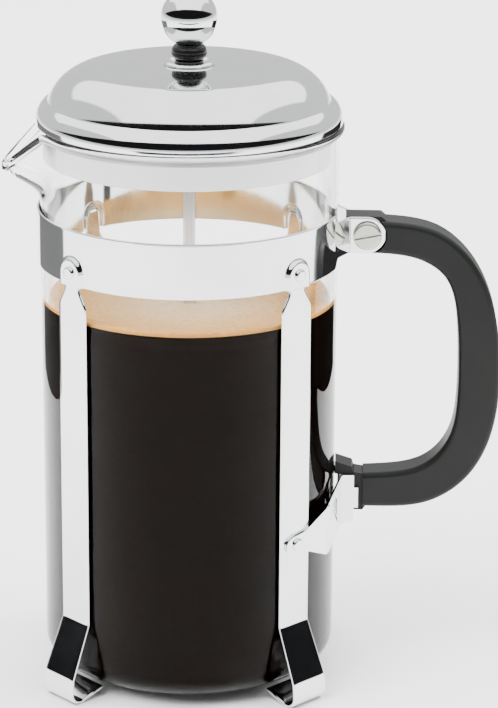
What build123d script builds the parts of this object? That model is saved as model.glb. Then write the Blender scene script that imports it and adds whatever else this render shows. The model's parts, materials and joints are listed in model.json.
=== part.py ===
from build123d import *
import math
import os

os.makedirs("parts", exist_ok=True)

# French press: a glass beaker in a chromed strap frame, with a sprung-filter plunger.
# Frame: origin on the beaker's axis at table level, +X to the handle, -X to the spout, +Z up.
# All sizes are in millimetres.

# ---------------------------------------------------------------- beaker
beaker_diameter = 96.0
glass_wall = 2.0
beaker_base = 4.0
beaker_height = 180.7
base_thickness = 2.5
base_corner = 7.0
bead_radius = 1.2
bead_overhang = 0.7
spout_reach = 12.8
spout_spread = 16.0
spout_drop = 18.9
spout_flare = 2.9
lip_drop = 14.2
lip_inset = 3.0

# ---------------------------------------------------------------- fits
glass_gap = 0.3
seam_gap = 0.05
running_gap = 0.05
seat_gap = 0.1

# ---------------------------------------------------------------- frame
band_sheet = 0.8
band_height = 18.0
band_drop = 45.3
band_end_angle = 16.0
leg_thickness = 1.2
leg_width = 13.0
neck_width = 6.6
neck_drop = 1.4
shoulder_drop = 5.0
foot_width = 15.0
leg_angle = 44.0
leg_bend_level = 26.0
foot_knee_reach = 7.4
foot_knee_level = 8.5
foot_reach = 8.4
foot_bend = 1.6
foot_flat = 4.6
cradle_length = 13.5
rivet_rise = 4.4
pocket_radius = 4.2
rivet_shank = 1.1
rivet_head = 2.1
rivet_head_height = 0.9

# ---------------------------------------------------------------- handle and its clamp
handle_width = 12.0
handle_round = 1.8
grip_rise = 5.0
grip_bottom = 56.0
grip_reach = 43.9
arm_depth = 11.6
tongue_width = 8.4
screw_stand = 9.5
screw_rise = 9.4
screw_radius = 2.0
screw_head_radius = 4.6
screw_head_height = 1.8
slot_width = 0.9
slot_depth = 0.8
slot_tilt = 11.0
ear_height = 12.1
ear_fold = 3.6
ear_bend = 1.2
nut_flats = 7.0
nut_height = 3.2
thread_end = 0.8

# ---------------------------------------------------------------- lower bracket
bracket_sheet = 1.0
bracket_rivet_level = 53.8
bracket_fold_share = 0.279
bracket_stand = 2.1
cheek_length = 4.5
cheek_tip = 1.4
bracket_low = 46.2
bracket_height = 20.7
tab_run = 4.5
tab_half = 3.0

# ---------------------------------------------------------------- lid
lid_sheet = 0.8
dome_rise = 18.7
dome_cap_radius = 480.0
dome_shoulder_radius = 15.4
dome_inset = 1.8
valley_rise = 7.3
brim_overhang = 1.3
brim_depth = 5.6
skirt_gap = 0.5
skirt_sheet = 0.6
skirt_depth = 11.4
flange_overhang = 0.3
bush_radius = 4.6
bush_flange = 6.5
bush_stand = 1.3
bush_flange_height = 1.2
bush_depth = 5.0
washer_radius = 8.2
washer_height = 1.0

# ---------------------------------------------------------------- knob and plunger
rod_radius = 2.0
ball_radius = 9.1
ball_rise = 14.9
ball_bore_depth = 6.0
ferrule_radius = 5.75
ferrule_foot = 4.0
ferrule_neck = 3.9
cross_plate_level = 39.4
cross_plate_inset = 1.1
inner_hole = 4.6
outer_hole = 4.4
slot_hole = 3.4
cross_plate_sheet = 1.0
mesh_sheet = 0.5
spiral_sheet = 0.8
dish_inset = 12.7
dish_step = 1.5
mesh_edge_rise = 6.0
spring_radius = 1.7
collar_radius = 4.5
collar_height = 3.0
hub_flats = 11.0
hub_height = 3.0
rod_thread_end = 0.6

# ---------------------------------------------------------------- sizes worked out from those
beaker_radius = beaker_diameter / 2
bore_radius = beaker_radius - glass_wall
rim_top = beaker_base + beaker_height
spout_level = rim_top - spout_drop
lip_start = beaker_radius - lip_inset
band_base = rim_top - band_drop
rivet_level = band_base + rivet_rise
neck_end = band_base - neck_drop
screw_level = band_base + screw_rise
screw_reach = beaker_radius + screw_stand
grip_top = screw_level + grip_rise
ear_turn = beaker_radius + ear_fold
bracket_fold = bracket_fold_share * beaker_radius
bracket_plate = beaker_radius + bracket_stand
cheek_reach = bracket_plate + cheek_length
bracket_high = bracket_low + bracket_height
dome_apex = rim_top + dome_rise
dome_base_radius = beaker_radius - dome_inset
valley_level = rim_top + valley_rise
brim_level = valley_level - brim_depth
brim_radius = beaker_radius + brim_overhang
flange_reach = beaker_radius + flange_overhang
ball_level = dome_apex + ball_rise
frame_radius = beaker_radius + glass_gap
band_radius = frame_radius + band_sheet
leg_face = frame_radius + leg_thickness
pocket_face = leg_face + seam_gap + band_sheet
tongue_half = tongue_width / 2
ear_middle = tongue_half + seam_gap + band_sheet / 2
ear_face = ear_middle + band_sheet / 2
cheek_middle = tongue_half + seam_gap + bracket_sheet / 2
rod_hole = rod_radius + running_gap
leg_angles = {
    "leg_front_left": 180.0 + leg_angle,
    "leg_front_right": -leg_angle,
    "leg_back_left": 180.0 - leg_angle,
    "leg_back_right": leg_angle,
}


def finish(piece, name):
    """Label a finished piece and write it to its own STEP file."""
    piece.part.label = name
    export_step(piece.part, f"parts/{name}.step")


def side_plane(angle):
    """Upright plane through the axis: local x runs outward at the angle, local y runs up."""
    a = math.radians(angle)
    return Plane(origin=(0, 0, 0), x_dir=(math.cos(a), math.sin(a), 0), z_dir=(math.sin(a), -math.cos(a), 0))


def face_plane(angle, distance):
    """Upright plane that faces outward at the angle: local x is tangential, local y runs up."""
    a = math.radians(angle)
    out = Vector(math.cos(a), math.sin(a), 0)
    return Plane(origin=out * distance, x_dir=(-math.sin(a), math.cos(a), 0), z_dir=out)


# ================================================================ beaker
def spout_section(level, radius, hidden, rise):
    """Closed outline of the spout's lobe at one level.

    The reach grows as a smooth step with height, and falls off to the sides as a bell.
    Away from the spout the outline stays inside the glass wall by the hidden depth.
    """
    reach = spout_reach / 2 * (1 + math.tanh((level - rise - spout_level) / spout_flare))
    points = []
    for step in range(-10, 11):
        turn = step * 4.5
        bell = math.exp(-((turn / spout_spread) ** 2))
        size = radius - hidden + reach * (1 + hidden / spout_reach) * bell
        points.append((-size * math.cos(math.radians(turn)), size * math.sin(math.radians(turn))))
    with BuildSketch(Plane.XY.offset(level)) as section:
        with BuildLine():
            front = Spline(*points)
            Line(front @ 1, front @ 0)
        make_face()
    return section.sketch


spout_levels = [rim_top - drop for drop in (32, 24, 19, 15, 10, -3)]
hidden_depth = glass_wall / 2
lip_thickness = glass_wall * 0.8

with BuildPart() as beaker_cavity:
    with BuildSketch(Plane.XZ):
        with BuildLine():
            floor_level = beaker_base + base_thickness
            inner_corner = base_corner - glass_wall
            Line((0, floor_level), (bore_radius - inner_corner, floor_level))
            RadiusArc(
                (bore_radius - inner_corner, floor_level),
                (bore_radius, floor_level + inner_corner),
                -inner_corner,
            )
            Polyline(
                (bore_radius, floor_level + inner_corner),
                (bore_radius, rim_top),
                (0, rim_top),
                (0, floor_level),
            )
        make_face()
    revolve(axis=Axis.Z)
    loft([spout_section(level, bore_radius, hidden_depth, lip_thickness) for level in spout_levels])

with BuildPart() as beaker:
    with BuildSketch(Plane.XZ):
        with BuildLine():
            Line((0, beaker_base), (beaker_radius - base_corner, beaker_base))
            RadiusArc(
                (beaker_radius - base_corner, beaker_base),
                (beaker_radius, beaker_base + base_corner),
                -base_corner,
            )
            Polyline(
                (beaker_radius, beaker_base + base_corner),
                (beaker_radius, rim_top),
                (0, rim_top),
                (0, beaker_base),
            )
        make_face()
    revolve(axis=Axis.Z)
    loft([spout_section(level, beaker_radius, hidden_depth, 0) for level in spout_levels])
    split(bisect_by=Plane.XY.offset(rim_top), keep=Keep.BOTTOM)
    with BuildSketch(Plane.XZ):
        with Locations((beaker_radius + bead_overhang, rim_top - bead_radius)):
            Circle(bead_radius)
    revolve(axis=Axis.Z)
    add(beaker_cavity.part, mode=Mode.SUBTRACT)
    # the pouring lip slopes down from the rim to the spout's tip
    with BuildSketch(Plane.XZ):
        lip_end = beaker_radius + spout_reach
        with BuildLine():
            Polyline(
                (-lip_start, rim_top),
                (-lip_end, rim_top - lip_drop),
                (-lip_end - spout_reach, rim_top - lip_drop),
                (-lip_end - spout_reach, rim_top + lip_drop),
                (-lip_start, rim_top + lip_drop),
                close=True,
            )
        make_face()
    extrude(amount=beaker_radius, both=True, mode=Mode.SUBTRACT)
finish(beaker, "beaker")

# ================================================================ band
ear_base = screw_level - ear_height / 2
ear_tip = screw_reach + ear_height / 2
band_middle = frame_radius + band_sheet / 2


def on_band(angle):
    """Point on the middle of the band's sheet at an angle."""
    return (band_middle * math.cos(math.radians(angle)), band_middle * math.sin(math.radians(angle)))


def arch(angle, radius, distance, base):
    """Round-topped outline about the rivet, standing on the base level."""
    with BuildSketch(face_plane(angle, distance)) as outline:
        with BuildLine():
            top = CenterArc((0, rivet_level), radius, 0, 180)
            Polyline(top @ 1, (-radius, base), (radius, base), top @ 0)
        make_face()
    return outline.sketch


with BuildPart() as band:
    with BuildSketch(Plane.XY.offset(band_base)):
        Circle(band_radius)
        gap_half = band_radius * math.sin(math.radians(band_end_angle))
        with Locations((band_radius, 0)):
            Rectangle(band_radius, 2 * gap_half, mode=Mode.SUBTRACT)
    extrude(amount=band_height)
    for angle in leg_angles.values():
        outside = arch(angle, pocket_radius + band_sheet, band_radius / 2, band_base)
        extrude(outside, amount=pocket_face - band_radius / 2)
    for side in (1, -1):
        with BuildSketch(Plane.XY.offset(ear_base)):
            with BuildLine():
                start = on_band(band_end_angle + 3)
                end = on_band(band_end_angle - 2)
                FilletPolyline(
                    (start[0], side * start[1]),
                    (end[0], side * end[1]),
                    (ear_turn, side * ear_middle),
                    (ear_tip, side * ear_middle),
                    radius=ear_bend,
                )
            trace(line_width=band_sheet)
        extrude(amount=ear_height)
    fillet(band.edges().filter_by(Axis.Y).group_by(Axis.X)[-1], radius=ear_height / 2 - seam_gap)
    for angle in leg_angles.values():
        inside = arch(angle, pocket_radius, band_radius / 2, band_base)
        extrude(inside, amount=leg_face + seam_gap - band_radius / 2, mode=Mode.SUBTRACT)
    with BuildSketch(Plane.XY.offset(band_base)):
        Circle(frame_radius)
    extrude(amount=band_height, mode=Mode.SUBTRACT)
    for angle in leg_angles.values():
        with BuildSketch(face_plane(angle, beaker_radius)):
            with Locations((0, rivet_level)):
                Circle(rivet_shank + seam_gap)
        extrude(amount=pocket_face, mode=Mode.SUBTRACT)
    with BuildSketch(Plane.XZ):
        with Locations((screw_reach, screw_level)):
            Circle(screw_radius + seam_gap)
    extrude(amount=handle_width, both=True, mode=Mode.SUBTRACT)
finish(band, "band")

# ================================================================ legs
tab_radius = neck_width / 2


def make_leg(name, angle):
    """One bent strip: up inside the band's pocket, down the glass, out to a foot and back under it."""
    middle = frame_radius + leg_thickness / 2
    half = leg_thickness / 2
    with BuildPart() as leg:
        with BuildSketch(side_plane(angle)):
            with BuildLine():
                FilletPolyline(
                    (middle, rivet_level + tab_radius),
                    (middle, leg_bend_level),
                    (middle + foot_knee_reach, foot_knee_level),
                    (middle + foot_reach, half),
                    (middle + foot_reach - foot_flat, half),
                    (middle + foot_reach - cradle_length, beaker_base - glass_gap - half + seam_gap),
                    radius=foot_bend,
                )
            trace(line_width=leg_thickness)
        extrude(amount=foot_width / 2, both=True)
        with BuildSketch(face_plane(angle, 0)):
            with BuildLine():
                top = CenterArc((0, rivet_level), tab_radius, 0, 180)
                Polyline(
                    top @ 1,
                    (-tab_radius, neck_end),
                    (-leg_width / 2, neck_end - shoulder_drop),
                    (-leg_width / 2, leg_bend_level),
                    (-foot_width / 2, 0),
                    (foot_width / 2, 0),
                    (leg_width / 2, leg_bend_level),
                    (leg_width / 2, neck_end - shoulder_drop),
                    (tab_radius, neck_end),
                    top @ 0,
                )
            make_face()
        extrude(amount=beaker_diameter, mode=Mode.INTERSECT)
        with BuildSketch(face_plane(angle, beaker_radius)):
            with Locations((0, rivet_level)):
                Circle(rivet_shank + seam_gap)
            if math.cos(math.radians(angle)) > 0:
                with Locations((0, bracket_rivet_level)):
                    Circle(rivet_shank + seam_gap)
        extrude(amount=leg_thickness + 2 * glass_gap, mode=Mode.SUBTRACT)
    finish(leg, name)


for leg_name, leg_turn in leg_angles.items():
    make_leg(leg_name, leg_turn)


def rivet(angle, level, face):
    """One rivet whose rounded head sits on a face at that distance from the axis."""
    inner_end = frame_radius + seam_gap
    outward = Axis((0, 0, 0), side_plane(angle).x_dir)
    with BuildPart() as one:
        with BuildSketch(face_plane(angle, inner_end)):
            with Locations((0, level)):
                Circle(rivet_shank)
        extrude(amount=face - inner_end)
        with BuildSketch(face_plane(angle, face)):
            with Locations((0, level)):
                Circle(rivet_head)
        extrude(amount=rivet_head_height)
        fillet(one.faces().sort_by(outward)[-1].edges(), radius=rivet_head_height * 0.8)
    return one.part


band_fasteners = [rivet(angle, rivet_level, pocket_face) for angle in leg_angles.values()]
with BuildPart() as leg_rivets:
    add(band_fasteners)
finish(leg_rivets, "leg_rivets")

# ================================================================ lower bracket
with BuildPart() as lower_bracket:
    sheet_middle = leg_face + seam_gap + bracket_sheet / 2
    tilt = math.radians(leg_angle)
    with BuildSketch(Plane.XY.offset(bracket_low)):
        for side in (1, -1):
            with BuildLine():
                Polyline(
                    (
                        sheet_middle * math.cos(tilt) - tab_run * math.sin(tilt),
                        side * (sheet_middle * math.sin(tilt) + tab_run * math.cos(tilt)),
                    ),
                    (
                        sheet_middle * math.cos(tilt) + bracket_fold * math.sin(tilt),
                        side * (sheet_middle * math.sin(tilt) - bracket_fold * math.cos(tilt)),
                    ),
                    (bracket_plate, side * cheek_middle),
                    (bracket_plate, 0),
                )
            trace(line_width=bracket_sheet)
            with BuildLine():
                Line((bracket_plate, side * cheek_middle), (cheek_reach + cheek_tip, side * cheek_middle))
            trace(line_width=bracket_sheet)
    extrude(amount=bracket_high - bracket_low)
    tab_x = leg_face * math.cos(tilt)
    with BuildSketch(Plane.XZ):
        with BuildLine():
            ThreePointArc(
                (tab_x, bracket_rivet_level + tab_half),
                (tab_x - 2.6, bracket_rivet_level),
                (tab_x, bracket_rivet_level - tab_half),
            )
            Polyline(
                (tab_x, bracket_rivet_level - tab_half),
                (tab_x + 4.5, bracket_rivet_level - 3.8),
                (tab_x + 10.9, bracket_low),
                (bracket_plate + 1.2, bracket_low + 3.9),
                (cheek_reach, bracket_low + 4.1),
                (cheek_reach, bracket_low + 9.3),
                (cheek_reach + cheek_tip, bracket_low + 9.3),
                (cheek_reach + cheek_tip, bracket_high - 4.3),
                (cheek_reach, bracket_high - 4.3),
                (cheek_reach, bracket_high),
                (bracket_plate + 1.0, bracket_high),
                (tab_x + 3.5, bracket_rivet_level + 3.7),
                (tab_x, bracket_rivet_level + tab_half),
            )
        make_face()
    extrude(amount=beaker_radius, both=True, mode=Mode.INTERSECT)
    # the slanting window between the wing's top strip and its body
    with BuildSketch(Plane.XZ):
        with BuildLine():
            Polyline(
                (bracket_plate - 2.6, bracket_high - 6.6),
                (bracket_plate - 0.9, bracket_high - 3.2),
                (bracket_plate - 0.9, bracket_high - 14.5),
                close=True,
            )
        make_face()
    extrude(amount=beaker_radius, both=True, mode=Mode.SUBTRACT)
    for angle in (leg_angle, -leg_angle):
        with BuildSketch(face_plane(angle, beaker_radius)):
            with Locations((0, bracket_rivet_level)):
                Circle(rivet_shank + seam_gap)
        extrude(amount=leg_width / 2, mode=Mode.SUBTRACT)
finish(lower_bracket, "lower_bracket")

bracket_face = leg_face + seam_gap + bracket_sheet
bracket_fasteners = [rivet(angle, bracket_rivet_level, bracket_face) for angle in (leg_angle, -leg_angle)]
with BuildPart() as bracket_rivets:
    add(bracket_fasteners)
finish(bracket_rivets, "bracket_rivets")

# ================================================================ handle
grip_start = screw_reach
hook_start = bracket_plate + bracket_sheet / 2 + glass_gap
ear_top = ear_base + ear_height
lip_level = bracket_high + seam_gap

# both edges of the grip, as shares of its reach and of its height
outer_line = [
    (0.000, 1.000), (0.194, 0.995), (0.513, 0.965), (0.768, 0.869),
    (0.943, 0.700), (1.000, 0.491), (0.964, 0.286), (0.774, 0.107),
    (0.467, 0.016), (0.194, 0.000), (0.000, 0.000),
]
inner_line = [
    (0.000, 0.119), (0.216, 0.126), (0.456, 0.157), (0.624, 0.241),
    (0.686, 0.368), (0.692, 0.511), (0.667, 0.685), (0.572, 0.810),
    (0.376, 0.868), (0.194, 0.884), (0.000, 0.889),
]


def on_grip(reach, rise):
    """Point of the grip's outline from its shares of the reach and the height."""
    return (grip_start + reach * grip_reach, grip_bottom + rise * (grip_top - grip_bottom))


tongue_start = bracket_plate + bracket_sheet / 2
with BuildPart() as handle:
    # the grip: two smooth curves with square ends, rounded along both sides
    with BuildSketch(Plane.XZ):
        with BuildLine():
            outer = Spline(*[on_grip(reach, rise) for reach, rise in outer_line])
            inner = Spline(*[on_grip(reach, rise) for reach, rise in inner_line])
            Line(outer @ 1, inner @ 0)
            Line(inner @ 1, outer @ 0)
        make_face()
    extrude(amount=handle_width / 2, both=True)
    sides = handle.faces().filter_by(Axis.Y).sort_by(Axis.Y)
    long_edges = (sides[0].edges() + sides[-1].edges()).filter_by(GeomType.BSPLINE)
    fillet(long_edges, radius=handle_round)
    # recess that the ears' round ends sit in, on both sides
    for side in (1, -1):
        with BuildSketch(Plane.XZ.offset(side * tongue_half)):
            with Locations((screw_reach, screw_level)):
                Circle(ear_height / 2 + glass_gap)
        extrude(amount=side * handle_width, mode=Mode.SUBTRACT)
    # tongues: one between the ears, one hooked over the bracket's plate between its cheeks
    with BuildSketch(Plane.XZ):
        with BuildLine():
            Polyline(
                (tongue_start, ear_base),
                (grip_start + 6.0, ear_base),
                (grip_start + 9.0, grip_top - 3.0),
                (grip_start + 4.5, ear_top),
                (tongue_start, ear_top),
                close=True,
            )
        make_face()
        with BuildLine():
            Polyline(
                (hook_start, grip_bottom - 1.5),
                (grip_start, grip_bottom - 1.5),
                (grip_start + 3.0, grip_bottom + 3.0),
                (grip_start + 3.0, grip_bottom + arm_depth - 1.0),
                (grip_start - 3.0, grip_bottom + arm_depth),
                (grip_start - 3.7, lip_level + 2.5),
                (frame_radius + seam_gap, lip_level + 4.3),
                (frame_radius + seam_gap, lip_level),
                (hook_start, lip_level),
                close=True,
            )
        make_face()
    extrude(amount=tongue_half, both=True)
    with BuildSketch(Plane.XZ):
        with Locations((screw_reach, screw_level)):
            Circle(screw_radius + seam_gap)
    extrude(amount=handle_width, both=True, mode=Mode.SUBTRACT)
finish(handle, "handle")

# ================================================================ clamp screw and nut
nut_face = ear_face + nut_height

with BuildPart() as handle_screw:
    with BuildSketch(Plane.XZ.offset(ear_face)):
        with Locations((screw_reach, screw_level)):
            Circle(screw_head_radius)
    extrude(amount=screw_head_height)
    fillet(handle_screw.edges().filter_by(GeomType.CIRCLE).sort_by(Axis.Y)[0], radius=screw_head_height / 2)
    with BuildSketch(Plane.XZ.offset(ear_face + screw_head_height)):
        with Locations((screw_reach, screw_level)):
            Rectangle(2 * screw_head_radius, slot_width, rotation=slot_tilt)
    extrude(amount=-slot_depth, mode=Mode.SUBTRACT)
    with BuildSketch(Plane.XZ.offset(ear_face)):
        with Locations((screw_reach, screw_level)):
            Circle(screw_radius)
    extrude(amount=-(ear_face + nut_face + thread_end))
finish(handle_screw, "handle_screw")

with BuildPart() as handle_nut:
    with BuildSketch(Plane.XZ.offset(-ear_face)):
        with Locations((screw_reach, screw_level)):
            RegularPolygon(nut_flats / 2, 6, major_radius=False)
            Circle(screw_radius + seam_gap, mode=Mode.SUBTRACT)
    extrude(amount=-nut_height)
finish(handle_nut, "handle_nut")

# ================================================================ lid
# The dome is a nearly flat cap that runs tangent into a tight shoulder.
shoulder_reach = dome_base_radius - dome_shoulder_radius
shoulder_turn = math.asin(shoulder_reach / (dome_cap_radius - dome_shoulder_radius))
cap_centre = dome_apex - dome_cap_radius
shoulder_level = cap_centre + (dome_cap_radius - dome_shoulder_radius) * math.cos(shoulder_turn)
valley_turn = math.asin((valley_level - shoulder_level) / dome_shoulder_radius)


def on_cap(turn, inset):
    """Point on the cap's arc, turned from the axis."""
    size = dome_cap_radius - inset
    return (size * math.sin(turn), cap_centre + size * math.cos(turn))


def on_shoulder(rise, inset):
    """Point on the shoulder's arc at an angle above level."""
    size = dome_shoulder_radius - inset
    return (shoulder_reach + size * math.cos(rise), shoulder_level + size * math.sin(rise))


bush_hole = bush_radius + seam_gap
shoulder_start = math.pi / 2 - shoulder_turn
brim_edge = rim_top + glass_gap

with BuildPart() as lid_dome:
    with BuildSketch(Plane.XZ):
        with BuildLine():
            hole_turn = math.asin(bush_hole / dome_cap_radius)
            inner_hole_turn = math.asin(bush_hole / (dome_cap_radius - lid_sheet))
            middle_rise = (shoulder_start + valley_turn) / 2
            # outer skin, from the hole out to the brim's edge
            ThreePointArc(
                on_cap(hole_turn, 0), on_cap((hole_turn + shoulder_turn) / 2, 0), on_cap(shoulder_turn, 0)
            )
            ThreePointArc(on_shoulder(shoulder_start, 0), on_shoulder(middle_rise, 0), on_shoulder(valley_turn, 0))
            valley = on_shoulder(valley_turn, 0)
            ThreePointArc(valley, (brim_radius - 0.9, valley_level - 2.6), (brim_radius, brim_level))
            Line((brim_radius, brim_level), (brim_radius, brim_edge))
            Line((brim_radius, brim_edge), (brim_radius - lid_sheet, brim_edge))
            # inner skin, back to the hole
            Line((brim_radius - lid_sheet, brim_edge), (brim_radius - lid_sheet, brim_level))
            inner_valley = on_shoulder(valley_turn, lid_sheet)
            inner_valley = (inner_valley[0], inner_valley[1] - lid_sheet / 2)
            ThreePointArc(
                (brim_radius - lid_sheet, brim_level),
                (brim_radius - 1.7, valley_level - 3.1),
                inner_valley,
            )
            inner_low = on_shoulder(valley_turn, lid_sheet)
            Line(inner_valley, inner_low)
            ThreePointArc(
                inner_low, on_shoulder(middle_rise, lid_sheet), on_shoulder(shoulder_start, lid_sheet)
            )
            ThreePointArc(
                on_cap(shoulder_turn, lid_sheet),
                on_cap((inner_hole_turn + shoulder_turn) / 2, lid_sheet),
                on_cap(inner_hole_turn, lid_sheet),
            )
            Line(on_cap(inner_hole_turn, lid_sheet), on_cap(hole_turn, 0))
        make_face()
    revolve(axis=Axis.Z)
finish(lid_dome, "lid_dome")

with BuildPart() as lid_skirt:
    skirt_radius = bore_radius - skirt_gap
    flange_top = brim_edge + skirt_sheet
    with BuildSketch(Plane.XZ):
        with BuildLine():
            Polyline(
                (skirt_radius - skirt_sheet, rim_top - skirt_depth),
                (skirt_radius, rim_top - skirt_depth),
                (skirt_radius, brim_edge),
                (flange_reach, brim_edge),
                (flange_reach, flange_top),
                (skirt_radius - skirt_sheet, flange_top),
                close=True,
            )
        make_face()
    revolve(axis=Axis.Z)
finish(lid_skirt, "lid_skirt")

with BuildPart() as guide_bush:
    bush_top = dome_apex + bush_stand
    flange_level = dome_apex - lid_sheet - seam_gap
    with BuildSketch(Plane.XZ):
        with BuildLine():
            Polyline(
                (rod_hole, bush_top),
                (bush_radius, bush_top),
                (bush_radius, flange_level),
                (bush_flange, flange_level),
                (bush_flange, flange_level - bush_flange_height),
                (bush_radius, flange_level - bush_flange_height),
                (bush_radius, flange_level - bush_depth),
                (rod_hole, flange_level - bush_depth),
                close=True,
            )
        make_face()
    revolve(axis=Axis.Z)
finish(guide_bush, "guide_bush")

with BuildPart() as lid_washer:
    with BuildSketch(Plane.XZ):
        with BuildLine():
            low = dome_apex + seam_gap
            Polyline((bush_hole, low + washer_height), (bush_hole, low), (washer_radius, low))
            ThreePointArc(
                (washer_radius, low),
                (washer_radius - 0.4, low + washer_height * 0.7),
                (washer_radius - 1.4, low + washer_height),
            )
            Polyline(
                (washer_radius - 1.4, low + washer_height),
                (washer_radius - 2.2, low + washer_height * 0.4),
                (bush_hole + 0.5, low + washer_height * 0.4),
                (bush_hole, low + washer_height),
            )
        make_face()
    revolve(axis=Axis.Z)
finish(lid_washer, "lid_washer")

# ================================================================ knob
with BuildPart() as ball_knob:
    with Locations((0, 0, ball_level)):
        Sphere(ball_radius)
    bore_floor = ball_level - ball_radius + ball_bore_depth
    with BuildSketch(Plane.XY.offset(bore_floor)):
        Circle(rod_radius + seam_gap)
    extrude(amount=-ball_radius, mode=Mode.SUBTRACT)
finish(ball_knob, "ball_knob")

with BuildPart() as knob_ferrule:
    ferrule_base = bush_top + seat_gap
    ferrule_top = ball_level - math.sqrt(ball_radius**2 - ferrule_neck**2)
    ferrule_middle = (ferrule_base + ferrule_top) / 2
    with BuildSketch(Plane.XZ):
        with BuildLine():
            Polyline((rod_hole, ferrule_top), (rod_hole, ferrule_base), (ferrule_foot, ferrule_base))
            ThreePointArc(
                (ferrule_foot, ferrule_base),
                (ferrule_radius, ferrule_middle),
                (ferrule_neck, ferrule_top),
            )
            Line((ferrule_neck, ferrule_top), (rod_hole, ferrule_top))
        make_face()
    revolve(axis=Axis.Z)
    with Locations((0, 0, ball_level)):
        Sphere(ball_radius + seam_gap, mode=Mode.SUBTRACT)
finish(knob_ferrule, "knob_ferrule")

# ================================================================ plunger
cross_top = cross_plate_level + cross_plate_sheet
mesh_top = cross_top + mesh_sheet
spiral_top = mesh_top + spiral_sheet
filter_radius = bore_radius - glass_gap
cross_plate_radius = filter_radius - cross_plate_inset
dish_radius = filter_radius - dish_inset
mesh_radius = filter_radius - 0.4
spring_middle = filter_radius - spring_radius
spiral_radius = spring_middle - spring_radius - seam_gap
spring_level = mesh_top + mesh_edge_rise + spring_radius + seam_gap

with BuildPart() as plunger_rod:
    rod_base = cross_plate_level - hub_height - rod_thread_end
    rod_top = bore_floor - seam_gap
    with BuildSketch(Plane.XY.offset(rod_base)):
        Circle(rod_radius)
    extrude(amount=rod_top - rod_base)
finish(plunger_rod, "plunger_rod")


with BuildPart() as rod_cutter:
    with BuildSketch(Plane.XY):
        Circle(rod_radius + seam_gap)
    extrude(amount=rim_top)

with BuildPart() as cross_plate:
    with BuildSketch(Plane.XY.offset(cross_plate_level)):
        Circle(cross_plate_radius)
        with PolarLocations(cross_plate_radius * 0.4, 8):
            Circle(inner_hole, mode=Mode.SUBTRACT)
        with PolarLocations(cross_plate_radius * 0.74, 16, start_angle=11.25):
            Circle(outer_hole, mode=Mode.SUBTRACT)
    extrude(amount=cross_plate_sheet)
    add(rod_cutter.part, mode=Mode.SUBTRACT)
finish(cross_plate, "cross_plate")

with BuildPart() as filter_mesh:
    with BuildSketch(Plane.XZ):
        with BuildLine():
            Polyline(
                (0, cross_top),
                (dish_radius, cross_top),
                (mesh_radius, cross_top + mesh_edge_rise),
                (mesh_radius, mesh_top + mesh_edge_rise),
                (dish_radius, mesh_top),
                (0, mesh_top),
                close=True,
            )
        make_face()
    revolve(axis=Axis.Z)
    add(rod_cutter.part, mode=Mode.SUBTRACT)
finish(filter_mesh, "filter_mesh")

with BuildPart() as spiral_plate:
    with BuildSketch(Plane.XZ):
        with BuildLine():
            plate_rise = spring_level - mesh_top
            Polyline(
                (0, mesh_top),
                (dish_radius - dish_step, mesh_top),
                (spiral_radius, mesh_top + plate_rise),
                (spiral_radius, spiral_top + plate_rise),
                (dish_radius - dish_step, spiral_top),
                (0, spiral_top),
                close=True,
            )
        make_face()
    revolve(axis=Axis.Z)
    with BuildSketch(Plane.XY.offset(mesh_top)):
        with PolarLocations(dish_radius * 0.55, 12):
            SlotOverall(dish_radius * 0.42, slot_hole, mode=Mode.ADD)
    extrude(amount=spiral_sheet, mode=Mode.SUBTRACT)
    add(rod_cutter.part, mode=Mode.SUBTRACT)
finish(spiral_plate, "spiral_plate")

with BuildPart() as edge_spring:
    with BuildSketch(Plane.XZ):
        with Locations((spring_middle, spring_level)):
            Circle(spring_radius)
    revolve(axis=Axis.Z)
finish(edge_spring, "edge_spring")

with BuildPart() as rod_collar:
    with BuildSketch(Plane.XY.offset(spiral_top)):
        Circle(collar_radius)
        Circle(rod_radius + seam_gap, mode=Mode.SUBTRACT)
    extrude(amount=collar_height)
    chamfer(rod_collar.edges().filter_by(GeomType.CIRCLE).group_by(Axis.Z)[-1].sort_by(SortBy.RADIUS)[-1], 0.6)
finish(rod_collar, "rod_collar")

with BuildPart() as hub_nut:
    with BuildSketch(Plane.XY.offset(cross_plate_level - hub_height)):
        RegularPolygon(hub_flats / 2, 6, major_radius=False)
        Circle(rod_radius + seam_gap, mode=Mode.SUBTRACT)
    extrude(amount=hub_height)
finish(hub_nut, "hub_nut")
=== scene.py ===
import json
import math

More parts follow.
